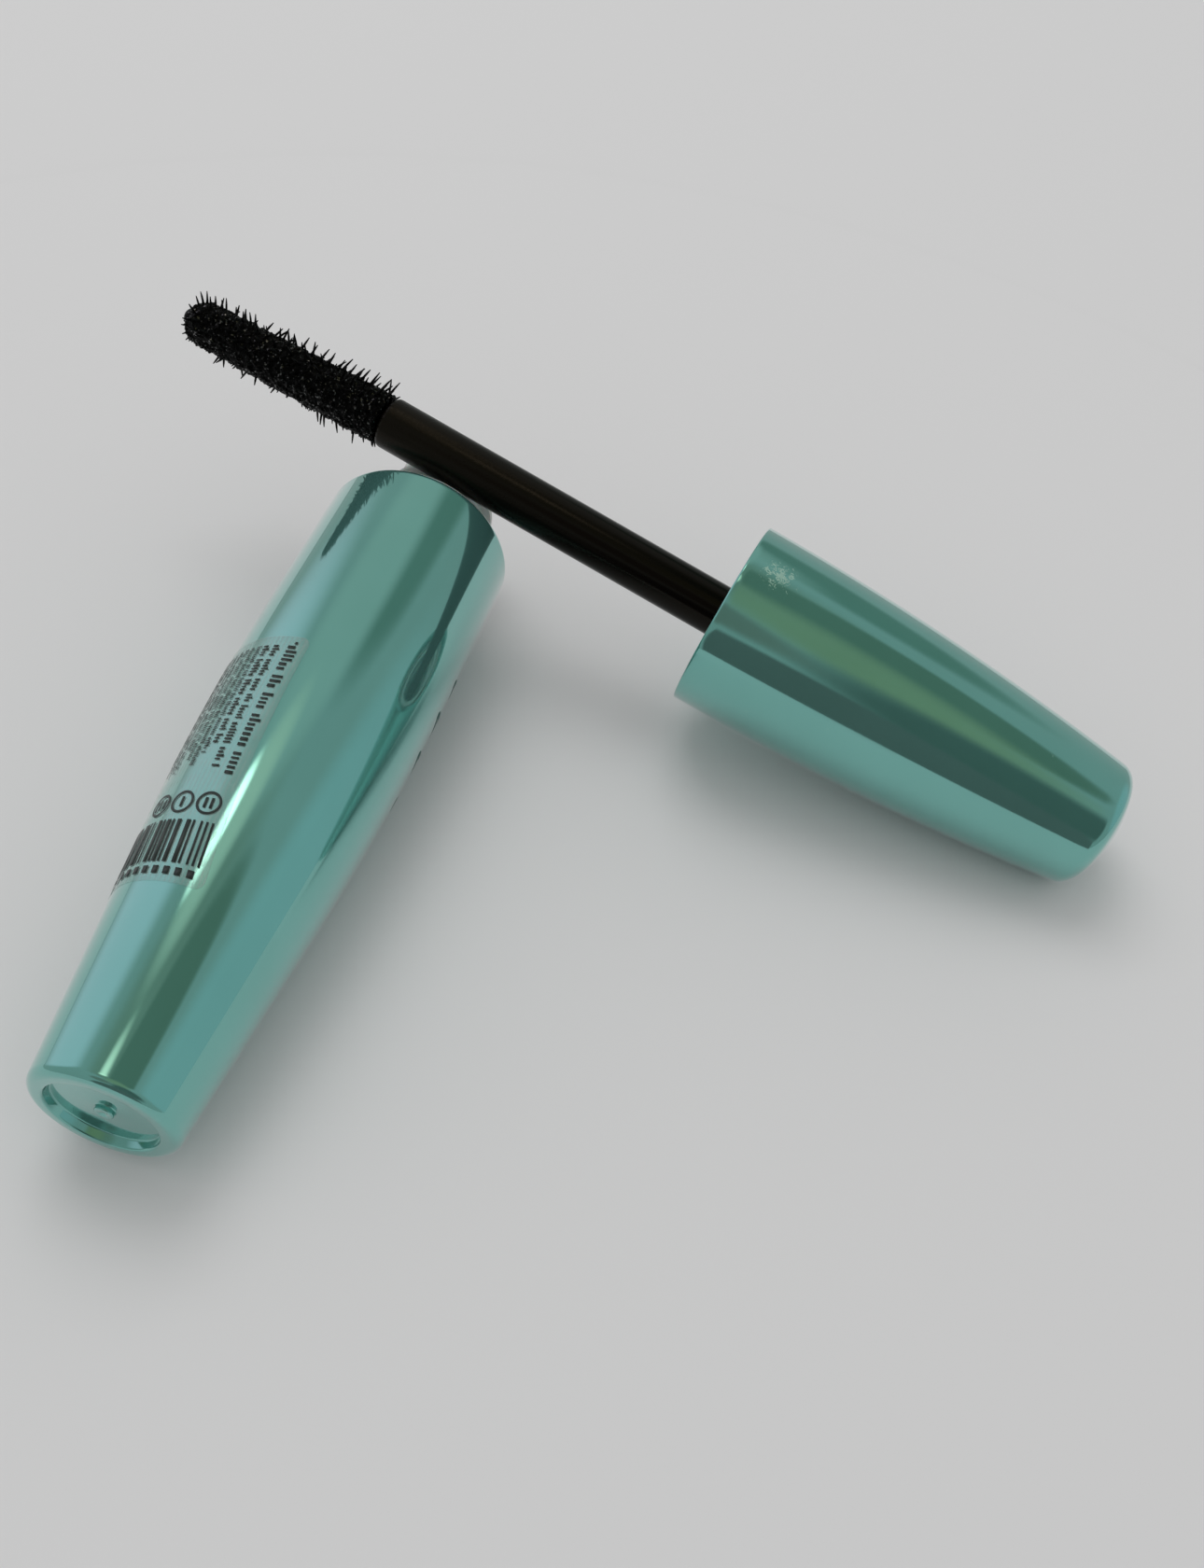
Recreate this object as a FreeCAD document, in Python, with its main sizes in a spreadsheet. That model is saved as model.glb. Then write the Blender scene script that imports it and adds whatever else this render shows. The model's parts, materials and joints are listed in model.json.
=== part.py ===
import FreeCAD, Part

import math
import os

import Sketcher

# A mascara lying open: the bottle rests on its belly and the applicator leans across its
# threaded neck, with the closed end of the cap on the table.
# Units are millimetres. +Z is up and the table is at Z = 0. The bottle points along +Y,
# and the applicator's cap end points along +X.
# Each piece is drawn about its own local Z axis and then placed:
#   bottle pieces      Z = 0 at the base ring, Z rising towards the neck
#   applicator pieces  Z = 0 at the cap's mouth, Z rising towards the cap's closed end,
#                      so the stem and the brush have negative heights

DIMENSIONS = {
    # bottle, outer shell
    "shell_length": 76.9,
    "belly_radius": 11.0,
    "base_radius": 7.0,
    "cone_top": 21.5,
    "cone_top_radius": 9.145,
    "belly_start": 58.0,
    "side_bend": 360.0,
    "base_round": 1.0,
    "shoulder_round": 1.2,
    "shell_wall": 1.1,
    "shell_floor": 2.4,
    "lip_radius": 9.3,
    "lip_depth": 3.4,
    "recess_radius": 5.3,
    "recess_floor_radius": 5.1,
    "recess_depth": 0.9,
    "gate_radius": 0.9,
    "gate_height": 0.5,
    "gate_dimple_radius": 0.45,
    "gate_dimple_depth": 0.25,
    # bottle, inner vial with its collar and threaded neck
    "vial_wall": 0.9,
    "vial_floor": 1.0,
    "vial_base_radius": 5.5,
    "vial_cone_radius": 7.7,
    "vial_body_radius": 9.2,
    "collar_height": 1.6,
    "collar_chamfer": 0.35,
    "collar_grip": 3.3,
    "neck_radius": 5.9,
    "neck_bore": 4.6,
    "neck_height": 10.0,
    "thread_pitch": 3.0,
    "thread_depth": 0.75,
    "thread_turns_height": 4.4,
    # wiper in the neck
    "wiper_flange_radius": 5.5,
    "wiper_flange": 0.8,
    "wiper_sleeve": 4.58,
    "wiper_inside": 3.85,
    "orifice_radius": 3.05,
    "orifice_land": 1.6,
    "wiper_drop": 12.2,
    # mascara in the vial
    "fill_top": 66.0,
    "channel_radius": 5.0,
    "channel_bottom": 5.2,
    "film_gap": 0.02,
    # clear label on the shell
    "label_bottom": 18.6,
    "label_height": 29.8,
    "label_top_half": 8.94,
    "label_bottom_half": 8.24,
    "label_corner": 1.0,
    "label_thickness": 0.08,
    "label_turn": -60.0,
    # cap
    "cap_length": 49.9,
    "cap_mouth_radius": 10.9,
    "cap_bend": 335.0,
    "cap_side_length": 48.2,
    "cap_dome_bend": 15.0,
    "cap_corner": 2.2,
    "cap_wall": 1.05,
    "cap_mouth_round": 0.25,
    # insert pressed into the cap
    "insert_start": 1.8,
    "insert_radius": 9.7,
    "insert_depth": 12.9,
    "insert_groove_outer": 8.8,
    "insert_groove_inner": 7.8,
    "insert_groove_depth": 9.0,
    "insert_bore": 6.8,
    "insert_roof": 1.9,
    "socket_outer": 4.6,
    "socket_length": 8.2,
    "socket_seat": 2.2,
    "running_gap": 0.05,
    # stem
    "stem_radius": 3.0,
    "stem_reach": 44.35,
    "stem_root_radius": 2.25,
    "stem_root_length": 6.0,
    "stem_end_round": 0.7,
    "stem_hole_radius": 1.4,
    "stem_hole_depth": 8.0,
    # brush
    "brush_length": 27.0,
    "brush_core_radius": 1.7,
    "brush_tip_radius": 1.15,
    "brush_spigot_length": 7.6,
    "brush_spigot_radius": 1.35,
    "brush_gap": 0.1,
    "brush_droop": 2.2,
    "bristle_reach_root": 4.9,
    "bristle_reach_tip": 3.8,
    "bristle_root_radius": 0.24,
    "bristle_tip_radius": 0.09,
    "bristle_pitch": 1.27,
    "bristle_rings": 20,
    "bristles_per_ring": 12,
    # resting pose
    "bottle_tilt": 2.6,
    "bottle_turn": 17.0,
    "bottle_base_x": -26.275,
    "bottle_base_y": -45.158,
    "mouth_x": 36.55,
    "mouth_y": 75.5,
    "applicator_turn": -9.53,
    "applicator_pitch": -10.15,
}

document = FreeCAD.newDocument("mascara")
sheet = document.addObject("Spreadsheet::Sheet", "Sizes")
for row, (name, number) in enumerate(DIMENSIONS.items(), start=1):
    sheet.set(f"A{row}", name.replace("_", " "))
    sheet.set(f"B{row}", f"{number}")
    sheet.setAlias(f"B{row}", name)
document.recompute()


class Size:
    """A length with the spreadsheet expression that gives it."""

    def __init__(self, value, text):
        self.value = value
        self.text = text

    @staticmethod
    def of(other):
        """Turn a plain number into a Size."""
        return other if isinstance(other, Size) else Size(float(other), f"{float(other):.6f}")

    def __add__(self, other):
        other = Size.of(other)
        return Size(self.value + other.value, f"({self.text} + {other.text})")

    def __sub__(self, other):
        other = Size.of(other)
        return Size(self.value - other.value, f"({self.text} - {other.text})")

    def __mul__(self, other):
        other = Size.of(other)
        return Size(self.value * other.value, f"({self.text} * {other.text})")

    def __neg__(self):
        return Size(-self.value, f"(-{self.text})")


def size(name):
    """The named driving dimension."""
    return Size(float(DIMENSIONS[name]), f"Sizes.{name}")


def origin_plane(body, role):
    """The body's own XY_Plane, XZ_Plane or YZ_Plane."""
    return next(item for item in body.Origin.OriginFeatures if item.Role == role)


def new_body(label):
    """An empty body, named after its piece."""
    body = document.addObject("PartDesign::Body", label)
    body.Label = label
    return body


def plane_sketch(body, name, role="XZ_Plane"):
    """An empty sketch on one of the body's own planes."""
    sketch = body.newObject("Sketcher::SketchObject", name)
    sketch.AttachmentSupport = [(origin_plane(body, role), "")]
    sketch.MapMode = "FlatFace"
    return sketch


def bind_offset(sketch, kind, geometry, point, distance):
    """Fix a point's distance from the sketch origin to a driving dimension."""
    if abs(distance.value) < 1e-9:
        axis = -2 if kind == "DistanceX" else -1
        sketch.addConstraint(Sketcher.Constraint("PointOnObject", geometry, point, axis))
        return
    if distance.value > 0:
        rule = Sketcher.Constraint(kind, -1, 1, geometry, point, distance.value)
        text = distance.text
    else:
        rule = Sketcher.Constraint(kind, geometry, point, -1, 1, -distance.value)
        text = f"-{distance.text}"
    sketch.setExpression(f"Constraints[{sketch.addConstraint(rule)}]", text)


def bent_side(start, end, bend):
    """The arc of the given radius from start to end, bulging to the right of the way there
    when bend is positive and to the left when it is negative. Returns the arc and whether
    it runs from start to end."""
    chord = end - start
    half = chord.Length / 2
    radius = abs(bend)
    middle = (start + end) * 0.5
    left = FreeCAD.Vector(-chord.y, chord.x, 0) / chord.Length
    rise = math.sqrt(radius * radius - half * half)
    centre = middle + left * (rise if bend > 0 else -rise)
    first, last = (start, end) if bend > 0 else (end, start)
    turn = [math.atan2(p.y - centre.y, p.x - centre.x) for p in (first, last)]
    circle = Part.Circle(centre, FreeCAD.Vector(0, 0, 1), radius)
    return Part.ArcOfCircle(circle, turn[0], turn[1]), bend > 0


def outline(sketch, corners):
    """Draw a closed outline through (radius, height) corners, each bound to the driving
    dimensions. A corner with a third value is reached along an arc of that radius."""
    corners = [tuple(Size.of(item) for item in corner) for corner in corners]
    ends = []
    for index, corner in enumerate(corners):
        before = corners[index - 1]
        start = FreeCAD.Vector(before[0].value, before[1].value, 0)
        end = FreeCAD.Vector(corner[0].value, corner[1].value, 0)
        if len(corner) == 3:
            arc, forwards = bent_side(start, end, corner[2].value)
            side = sketch.addGeometry(arc, False)
            ends.append((side, 1 if forwards else 2, 2 if forwards else 1))
        else:
            side = sketch.addGeometry(Part.LineSegment(start, end), False)
            ends.append((side, 1, 2))
    for index, (side, _, head) in enumerate(ends):
        following, tail, _ = ends[(index + 1) % len(ends)]
        sketch.addConstraint(Sketcher.Constraint("Coincident", side, head, following, tail))
        corner = corners[index]
        bind_offset(sketch, "DistanceX", side, head, corner[0])
        bind_offset(sketch, "DistanceY", side, head, corner[1])
        if len(corner) == 3:
            rule = Sketcher.Constraint("Radius", side, abs(corner[2].value))
            text = corner[2].text if corner[2].value > 0 else f"-{corner[2].text}"
            sketch.setExpression(f"Constraints[{sketch.addConstraint(rule)}]", text)


def turned(body, name, corners, kind="PartDesign::Revolution"):
    """Turn an outline all the way round the body's Z axis, to add or to cut."""
    sketch = plane_sketch(body, f"{name}_outline")
    outline(sketch, corners)
    feature = body.newObject(kind, name)
    feature.Profile = sketch
    feature.ReferenceAxis = (sketch, ["V_Axis"])
    feature.Angle = 360
    sketch.Visibility = False
    document.recompute()
    return feature


def ring_edges(feature, rings):
    """Names of the full-circle edges at the given (radius, height) places."""
    names = []
    for number, edge in enumerate(feature.Shape.Edges, start=1):
        if edge.Degenerated:
            continue
        curve = edge.Curve
        if not isinstance(curve, Part.Circle) or abs(curve.Axis.z) < 0.999:
            continue
        for radius, height in rings:
            if abs(curve.Radius - radius) < 0.02 and abs(curve.Center.z - height) < 0.02:
                names.append(f"Edge{number}")
    return names


def rounded(body, name, rings, radius):
    """Round the body's full-circle edges at the given (radius, height) places."""
    base = body.Tip
    names = ring_edges(base, rings)
    assert len(names) == len(rings), f"{name}: found {len(names)} of {len(rings)} edges"
    fillet = body.newObject("PartDesign::Fillet", name)
    fillet.Base = (base, names)
    fillet.Radius = radius.value
    fillet.setExpression("Radius", radius.text)
    document.recompute()
    return fillet


def thread(body, name, corners, height, pitch):
    """Wind a thread of the given cross-section up the body's Z axis."""
    sketch = plane_sketch(body, f"{name}_section")
    outline(sketch, corners)
    helix = body.newObject("PartDesign::AdditiveHelix", name)
    helix.Profile = sketch
    helix.ReferenceAxis = (sketch, ["V_Axis"])
    helix.Mode = 0
    helix.setExpression("Pitch", pitch.text)
    helix.setExpression("Height", height.text)
    helix.Angle = 0
    sketch.Visibility = False
    document.recompute()
    return helix


# ---------------------------------------------------------------------------
# Bottle
# ---------------------------------------------------------------------------

def make_bottle_shell():
    """The metallised outer shell: a cone that swells into a straight belly, a rounded
    shoulder, a recessed base and the moulding gate's mark in the middle of the recess."""
    body = new_body("bottle_shell")
    wall = size("shell_wall")
    length = size("shell_length")
    belly = size("belly_radius")
    lip = length - size("lip_depth")
    turned(body, "shell_side", [
        (0, size("recess_depth")),
        (size("recess_floor_radius"), size("recess_depth")),
        (size("recess_radius"), 0),
        (size("base_radius"), 0),
        (size("cone_top_radius"), size("cone_top")),
        (belly, size("belly_start"), size("side_bend")),
        (belly, length),
        (size("lip_radius"), length),
        (size("lip_radius"), lip),
        (belly - wall, lip - 0.6),
        (belly - wall, size("belly_start")),
        (size("cone_top_radius") - wall, size("cone_top"), -(size("side_bend") - wall)),
        (size("base_radius") - wall + 0.1, size("shell_floor") + 0.8),
        (size("base_radius") - wall - 0.7, size("shell_floor")),
        (0, size("shell_floor")),
    ])
    turned(body, "gate_mark", [
        (0, size("recess_depth") + 0.2),
        (size("gate_radius"), size("recess_depth") + 0.2),
        (size("gate_radius"), size("recess_depth") - size("gate_height") + 0.15),
        (size("gate_radius") - 0.15, size("recess_depth") - size("gate_height")),
        (size("gate_dimple_radius"), size("recess_depth") - size("gate_height")),
        (0, size("recess_depth") - size("gate_height") + size("gate_dimple_depth")),
    ])
    rounded(body, "base_corner", [(DIMENSIONS["base_radius"], 0)], size("base_round"))
    rounded(body, "shoulder",
            [(DIMENSIONS["belly_radius"], DIMENSIONS["shell_length"])], size("shoulder_round"))
    return body


def make_inner_vial():
    """The moulded vial that holds the mascara. Its collar stands proud of the shell, and
    above it is the threaded neck that the cap screws on to."""
    body = new_body("inner_vial")
    wall = size("vial_wall")
    floor = size("shell_floor")
    collar = size("lip_radius") - size("film_gap")
    grip = size("shell_length") - size("collar_grip")
    collar_top = size("shell_length") + size("collar_height")
    neck_top = collar_top + size("neck_height")
    body_radius = size("vial_body_radius")
    turned(body, "vial_side", [
        (0, floor),
        (size("vial_base_radius") - 0.6, floor),
        (size("vial_base_radius"), floor + 0.7),
        (size("vial_cone_radius"), size("cone_top")),
        (body_radius - 0.1, size("belly_start")),
        (body_radius, grip),
        (collar, grip),
        (collar, collar_top - size("collar_chamfer")),
        (collar - size("collar_chamfer"), collar_top),
        (size("neck_radius"), collar_top),
        (size("neck_radius"), neck_top),
        (size("neck_bore"), neck_top),
        (size("neck_bore"), size("shell_length") + 0.5),
        (body_radius - wall, size("shell_length") - 1.6),
        (body_radius - wall - 0.1, size("belly_start")),
        (size("vial_cone_radius") - wall, size("cone_top")),
        (size("vial_base_radius") - wall, floor + size("vial_floor") + 0.6),
        (size("vial_base_radius") - wall - 0.6, floor + size("vial_floor")),
        (0, floor + size("vial_floor")),
    ])
    root = DIMENSIONS["shell_length"] + DIMENSIONS["collar_height"]
    rounded(body, "neck_root", [(DIMENSIONS["neck_radius"], root)], Size.of(0.4))
    start = collar_top + 2.6
    inner = size("neck_radius") - 0.15
    outer = size("neck_radius") + size("thread_depth")
    thread(body, "neck_thread", [
        (inner, start - 0.85),
        (outer, start - 0.3),
        (outer, start + 0.3),
        (inner, start + 0.85),
    ], size("thread_turns_height"), size("thread_pitch"))
    return body


def make_wiper():
    """The soft wiper pressed into the neck: a flange on the rim, a sleeve, and a narrow
    orifice that strips the stem."""
    body = new_body("wiper")
    rim = size("shell_length") + size("collar_height") + size("neck_height")
    low = rim - size("wiper_drop")
    sleeve = size("wiper_sleeve")
    turned(body, "wiper_body", [
        (size("orifice_radius"), low),
        (size("orifice_radius") + 0.65, low),
        (sleeve - 0.45, low + 1.7),
        (sleeve, low + 2.3),
        (sleeve, rim),
        (size("wiper_flange_radius"), rim),
        (size("wiper_flange_radius"), rim + size("wiper_flange") - 0.3),
        (size("wiper_flange_radius") - 0.3, rim + size("wiper_flange")),
        (size("wiper_inside") + 0.3, rim + size("wiper_flange")),
        (size("wiper_inside"), rim + size("wiper_flange") - 0.4),
        (size("wiper_inside"), low + size("orifice_land") + 2.0),
        (size("orifice_radius"), low + size("orifice_land")),
    ])
    return body


def make_mascara_fill():
    """The mascara left in the vial, with the channel that the brush leaves in it."""
    body = new_body("mascara_fill")
    gap = size("film_gap")
    wall = size("vial_wall")
    floor = size("shell_floor") + size("vial_floor")
    channel = size("channel_radius")
    upper = size("vial_body_radius") - wall - gap
    turned(body, "fill_body", [
        (0, floor + gap),
        (size("vial_base_radius") - wall - 0.65, floor + gap),
        (size("vial_base_radius") - wall - gap - 0.05, floor + 0.65),
        (size("vial_cone_radius") - wall - gap, size("cone_top")),
        (upper - 0.1, size("belly_start")),
        (upper - 0.1, size("fill_top")),
        (channel + 1.2, size("fill_top") - 1.6),
        (channel, size("fill_top") - 3.0),
        (channel, size("cone_top")),
        (channel - 1.1, size("channel_bottom") + 1.5),
        (channel - 2.6, size("channel_bottom")),
        (0, size("channel_bottom") - 0.4),
    ])
    return body


def make_back_label():
    """The clear printed label, a thin film wrapped on the back of the shell."""
    body = new_body("back_label")
    plate = plane_sketch(body, "label_plate_outline")
    bottom = size("label_bottom")
    top = bottom + size("label_height")
    outline(plate, [
        (-size("label_bottom_half"), bottom),
        (size("label_bottom_half"), bottom),
        (size("label_top_half"), top),
        (-size("label_top_half"), top),
    ])
    pad = body.newObject("PartDesign::Pad", "label_plate")
    pad.Profile = plate
    pad.Length = 13
    plate.Visibility = False
    document.recompute()
    sharp = [
        f"Edge{number}" for number, edge in enumerate(pad.Shape.Edges, start=1)
        if isinstance(edge.Curve, Part.Line) and abs(edge.tangentAt(0).y) > 0.999
    ]
    corners = body.newObject("PartDesign::Fillet", "label_corners")
    corners.Base = (pad, sharp)
    corners.Radius = DIMENSIONS["label_corner"]
    corners.setExpression("Radius", "Sizes.label_corner")
    document.recompute()
    film = size("label_thickness")
    side = size("side_bend")
    belly = size("belly_radius")
    cone = size("cone_top_radius")
    slope = (DIMENSIONS["cone_top_radius"] - DIMENSIONS["base_radius"]) / DIMENSIONS["cone_top"]
    low = size("cone_top") - 5
    turned(body, "label_back", [
        (0, low),
        (cone - 5 * slope, low),
        (cone, size("cone_top")),
        (belly, size("belly_start"), side),
        (0, size("belly_start")),
    ], "PartDesign::Groove")
    turned(body, "label_front", [
        (cone + film - 5 * slope, low),
        (belly + 9, low),
        (belly + 9, size("belly_start")),
        (belly + film, size("belly_start")),
        (cone + film, size("cone_top"), -(side + film)),
    ], "PartDesign::Groove")
    return body


# ---------------------------------------------------------------------------
# Applicator
# ---------------------------------------------------------------------------

def make_cap_shell():
    """The metallised cap: an even curve from the mouth to a domed, rounded closed end."""
    body = new_body("cap_shell")
    wall = size("cap_wall")
    bend = size("cap_bend")
    side = size("cap_side_length")
    mouth = size("cap_mouth_radius")
    radius = DIMENSIONS["cap_bend"]
    drop = radius - math.sqrt(radius ** 2 - DIMENSIONS["cap_side_length"] ** 2)
    inner_radius = radius - DIMENSIONS["cap_wall"]
    inner_side = DIMENSIONS["cap_side_length"] - 1.6
    inner_drop = inner_radius - math.sqrt(inner_radius ** 2 - inner_side ** 2)
    turned(body, "cap_side", [
        (0, size("cap_length") - wall),
        (0, size("cap_length")),
        (mouth - drop, side, -size("cap_dome_bend")),
        (mouth, 0, -bend),
        (mouth - wall, 0),
        (mouth - wall - inner_drop, side - 1.6, bend - wall),
        (mouth - wall - inner_drop - 1.6, side - 0.55),
    ])
    rounded(body, "closed_end",
            [(DIMENSIONS["cap_mouth_radius"] - drop, DIMENSIONS["cap_side_length"])],
            size("cap_corner"))
    rounded(body, "mouth_rim", [
        (DIMENSIONS["cap_mouth_radius"], 0),
        (DIMENSIONS["cap_mouth_radius"] - DIMENSIONS["cap_wall"], 0),
    ], size("cap_mouth_round"))
    return body


def make_inner_cap():
    """The moulded insert pressed into the cap: a threaded sleeve, a roof and the socket
    that holds the stem."""
    body = new_body("inner_cap")
    start = size("insert_start")
    roof = size("insert_depth")
    top = roof + size("insert_roof")
    seat = roof + size("socket_seat")
    bore = size("insert_bore")
    stem_hole = size("stem_radius") + size("running_gap")
    root_hole = size("stem_root_radius") + size("running_gap")
    groove = start + size("insert_groove_depth")
    turned(body, "insert_body", [
        (bore, start),
        (size("insert_groove_inner"), start),
        (size("insert_groove_inner"), groove),
        (size("insert_groove_outer"), groove),
        (size("insert_groove_outer"), start),
        (size("insert_radius"), start),
        (size("insert_radius"), start + 2.0),
        (size("insert_radius") - 0.3, top),
        (size("socket_outer"), top),
        (size("socket_outer") - 0.3, top + size("socket_length")),
        (0, top + size("socket_length")),
        (0, seat + size("stem_root_length") + 0.2),
        (root_hole, seat + size("stem_root_length") + 0.2),
        (root_hole, seat),
        (stem_hole, seat),
        (stem_hole, roof),
        (bore, roof),
    ])
    first = start + 2.0
    outer = bore + 0.15
    inner = bore - size("thread_depth") + 0.1
    thread(body, "cap_thread", [
        (inner, first - 0.3),
        (outer, first - 0.85),
        (outer, first + 0.85),
        (inner, first + 0.3),
    ], size("thread_turns_height"), size("thread_pitch"))
    return body


def make_stem():
    """The black stem: a plain rod with a thinner root in the cap and a hole for the
    brush in its other end."""
    body = new_body("stem")
    seat = size("insert_depth") + size("socket_seat")
    reach = -size("stem_reach")
    turned(body, "stem_rod", [
        (size("stem_hole_radius"), reach),
        (size("stem_radius"), reach),
        (size("stem_radius"), seat - size("running_gap")),
        (size("stem_root_radius"), seat - size("running_gap")),
        (size("stem_root_radius"), seat + size("stem_root_length") - 0.3),
        (size("stem_root_radius") - 0.3, seat + size("stem_root_length")),
        (0, seat + size("stem_root_length")),
        (0, reach + size("stem_hole_depth")),
        (size("stem_hole_radius"), reach + size("stem_hole_depth")),
    ])
    rounded(body, "stem_end",
            [(DIMENSIONS["stem_radius"], -DIMENSIONS["stem_reach"])], size("stem_end_round"))
    return body


def make_brush():
    """The moulded brush: a spigot in the stem, a tapered core with a domed tip, and rings
    of tapered bristles, each ring turned half a step from the last."""
    d = DIMENSIONS
    root = FreeCAD.Vector(0, 0, -(d["stem_reach"] + d["brush_gap"]))
    along = FreeCAD.Vector(0, 0, -1)
    up = FreeCAD.Vector(0, 0, 1)
    length = d["brush_length"]
    taper = d["brush_core_radius"] - d["brush_tip_radius"]
    shaft = length - d["brush_tip_radius"]
    core = Part.makeCone(d["brush_core_radius"], d["brush_tip_radius"], shaft, root, along)
    tip = Part.makeSphere(d["brush_tip_radius"], root + along * shaft)
    spikes = []
    for ring in range(d["bristle_rings"]):
        place = 0.9 + ring * d["bristle_pitch"]
        share = place / length
        reach = d["bristle_reach_root"] + share * (d["bristle_reach_tip"] - d["bristle_reach_root"])
        inside = d["brush_core_radius"] - taper * share - 0.35
        for step in range(d["bristles_per_ring"]):
            turn = 2 * math.pi * (step + 0.5 * (ring % 2)) / d["bristles_per_ring"]
            outwards = FreeCAD.Vector(math.cos(turn), math.sin(turn), 0)
            spikes.append(Part.makeCone(
                d["bristle_root_radius"], d["bristle_tip_radius"], reach - inside,
                root + along * place + outwards * inside, outwards))
    head = core.fuse([tip] + spikes)
    head.rotate(root, FreeCAD.Vector(0, 1, 0), -d["brush_droop"])
    spigot = Part.makeCylinder(
        d["brush_spigot_radius"], d["brush_spigot_length"] + 0.4, root + along * 0.4, up)
    brush = document.addObject("Part::Feature", "brush")
    brush.Label = "brush"
    brush.Shape = head.fuse(spigot).removeSplitter()
    document.recompute()
    return brush


# ---------------------------------------------------------------------------
# Resting pose
# ---------------------------------------------------------------------------

def bottle_placement(own_turn):
    """Lay the bottle on its belly, tilted a little so that the neck end is higher, with
    a piece turned about the bottle's axis by own_turn degrees. The side is an arc where
    it touches the table, and the arc's centre sets the height."""
    d = DIMENSIONS
    tilt = math.radians(d["bottle_tilt"])
    depth = (d["belly_radius"] - d["side_bend"]) * math.cos(tilt)
    height = depth - d["belly_start"] * math.sin(tilt) + d["side_bend"]
    base = FreeCAD.Vector(d["bottle_base_x"], d["bottle_base_y"], height)
    lying = FreeCAD.Rotation(FreeCAD.Vector(1, 0, 0), d["bottle_tilt"] - 90)
    turned_about_axis = FreeCAD.Rotation(FreeCAD.Vector(0, 0, 1), own_turn)
    return FreeCAD.Placement(base, lying.multiply(turned_about_axis))


def applicator_placement(cap):
    """Lean the applicator across the bottle with the cap's closed end on the table."""
    d = DIMENSIONS
    turn = FreeCAD.Rotation(FreeCAD.Vector(0, 0, 1), d["applicator_turn"])
    lean = FreeCAD.Rotation(FreeCAD.Vector(0, 1, 0), 90 - d["applicator_pitch"])
    rotation = turn.multiply(lean)
    at_zero = FreeCAD.Placement(FreeCAD.Vector(0, 0, 0), rotation)
    lying = cap.Shape.copy()
    lying.Placement = at_zero
    height = -lying.optimalBoundingBox(False).ZMin
    mouth = FreeCAD.Vector(
        d["bottle_base_x"] + d["mouth_x"], d["bottle_base_y"] + d["mouth_y"], height)
    return FreeCAD.Placement(mouth, rotation)


def check(piece):
    """Stop if a piece or one of its features failed."""
    features = getattr(piece, "Group", [])
    for item in [piece] + list(features):
        bad = {"Invalid", "Error"} & set(item.State)
        assert not bad, f"{item.Label}: {item.State}"
    shape = piece.Shape
    assert not shape.isNull() and shape.isValid(), f"{piece.Label}: shape is not valid"
    assert len(shape.Solids) == 1, f"{piece.Label}: {len(shape.Solids)} solids"


bottle_pieces = [
    make_bottle_shell(), make_inner_vial(), make_wiper(), make_mascara_fill(),
    make_back_label(),
]
cap_shell = make_cap_shell()
applicator_pieces = [cap_shell, make_inner_cap(), make_stem(), make_brush()]

across = applicator_placement(cap_shell)
for piece in applicator_pieces:
    piece.Placement = across
for piece in bottle_pieces:
    own_turn = "label_turn" if piece.Label == "back_label" else "bottle_turn"
    piece.Placement = bottle_placement(DIMENSIONS[own_turn])
document.recompute()

os.makedirs("parts", exist_ok=True)
for piece in bottle_pieces + applicator_pieces:
    check(piece)
    piece.Shape.exportStep(f"parts/{piece.Label}.step")
    print(piece.Label, round(piece.Shape.Volume, 2), "mm3")
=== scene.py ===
"""The looks of an open mascara: a metallised bottle on its belly, its applicator across it.

Each piece is modelled in millimetres about its own axis and is then laid along the axis
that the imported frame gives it, in metres.
"""

import json
import logging
import math
import random
from dataclasses import dataclass, field
from enum import Enum

import bpy
from mathutils import Matrix, Vector


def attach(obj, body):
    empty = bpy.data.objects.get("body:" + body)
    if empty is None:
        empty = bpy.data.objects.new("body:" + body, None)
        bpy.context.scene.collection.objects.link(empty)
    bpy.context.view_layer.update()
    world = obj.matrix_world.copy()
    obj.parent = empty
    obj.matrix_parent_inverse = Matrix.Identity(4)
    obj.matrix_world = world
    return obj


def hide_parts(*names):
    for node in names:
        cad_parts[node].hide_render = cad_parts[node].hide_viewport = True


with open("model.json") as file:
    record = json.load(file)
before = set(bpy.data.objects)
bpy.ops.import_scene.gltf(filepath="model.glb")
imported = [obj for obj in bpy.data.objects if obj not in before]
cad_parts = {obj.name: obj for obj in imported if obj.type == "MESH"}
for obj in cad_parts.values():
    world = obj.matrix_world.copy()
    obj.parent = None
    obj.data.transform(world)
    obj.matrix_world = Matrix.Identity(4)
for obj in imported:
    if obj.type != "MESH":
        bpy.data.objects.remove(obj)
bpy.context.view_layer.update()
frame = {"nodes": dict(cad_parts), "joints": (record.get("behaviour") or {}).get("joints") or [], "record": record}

log = logging.getLogger("mascara")

MM = 0.001
ROUND_STEPS = 128
UP = Vector((0, 0, 1))

Outline = list[tuple[float, float]]
Piece = bpy.types.Object
Node = bpy.types.Node
Socket = bpy.types.NodeSocket
Tree = bpy.types.NodeTree


# --- Colour, nodes and place ---

def linear(code: str) -> tuple[float, float, float, float]:
    """Turn an sRGB hex colour into linear light.

    Args:
        code: the colour, such as #CCCCCC.

    Returns:
        Linear red, green and blue, and an alpha of 1.
    """
    channels = [int(code[place:place + 2], 16) / 255 for place in (1, 3, 5)]
    lit = [c / 12.92 if c <= 0.04045 else ((c + 0.055) / 1.055) ** 2.4 for c in channels]
    return lit[0], lit[1], lit[2], 1.0


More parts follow.
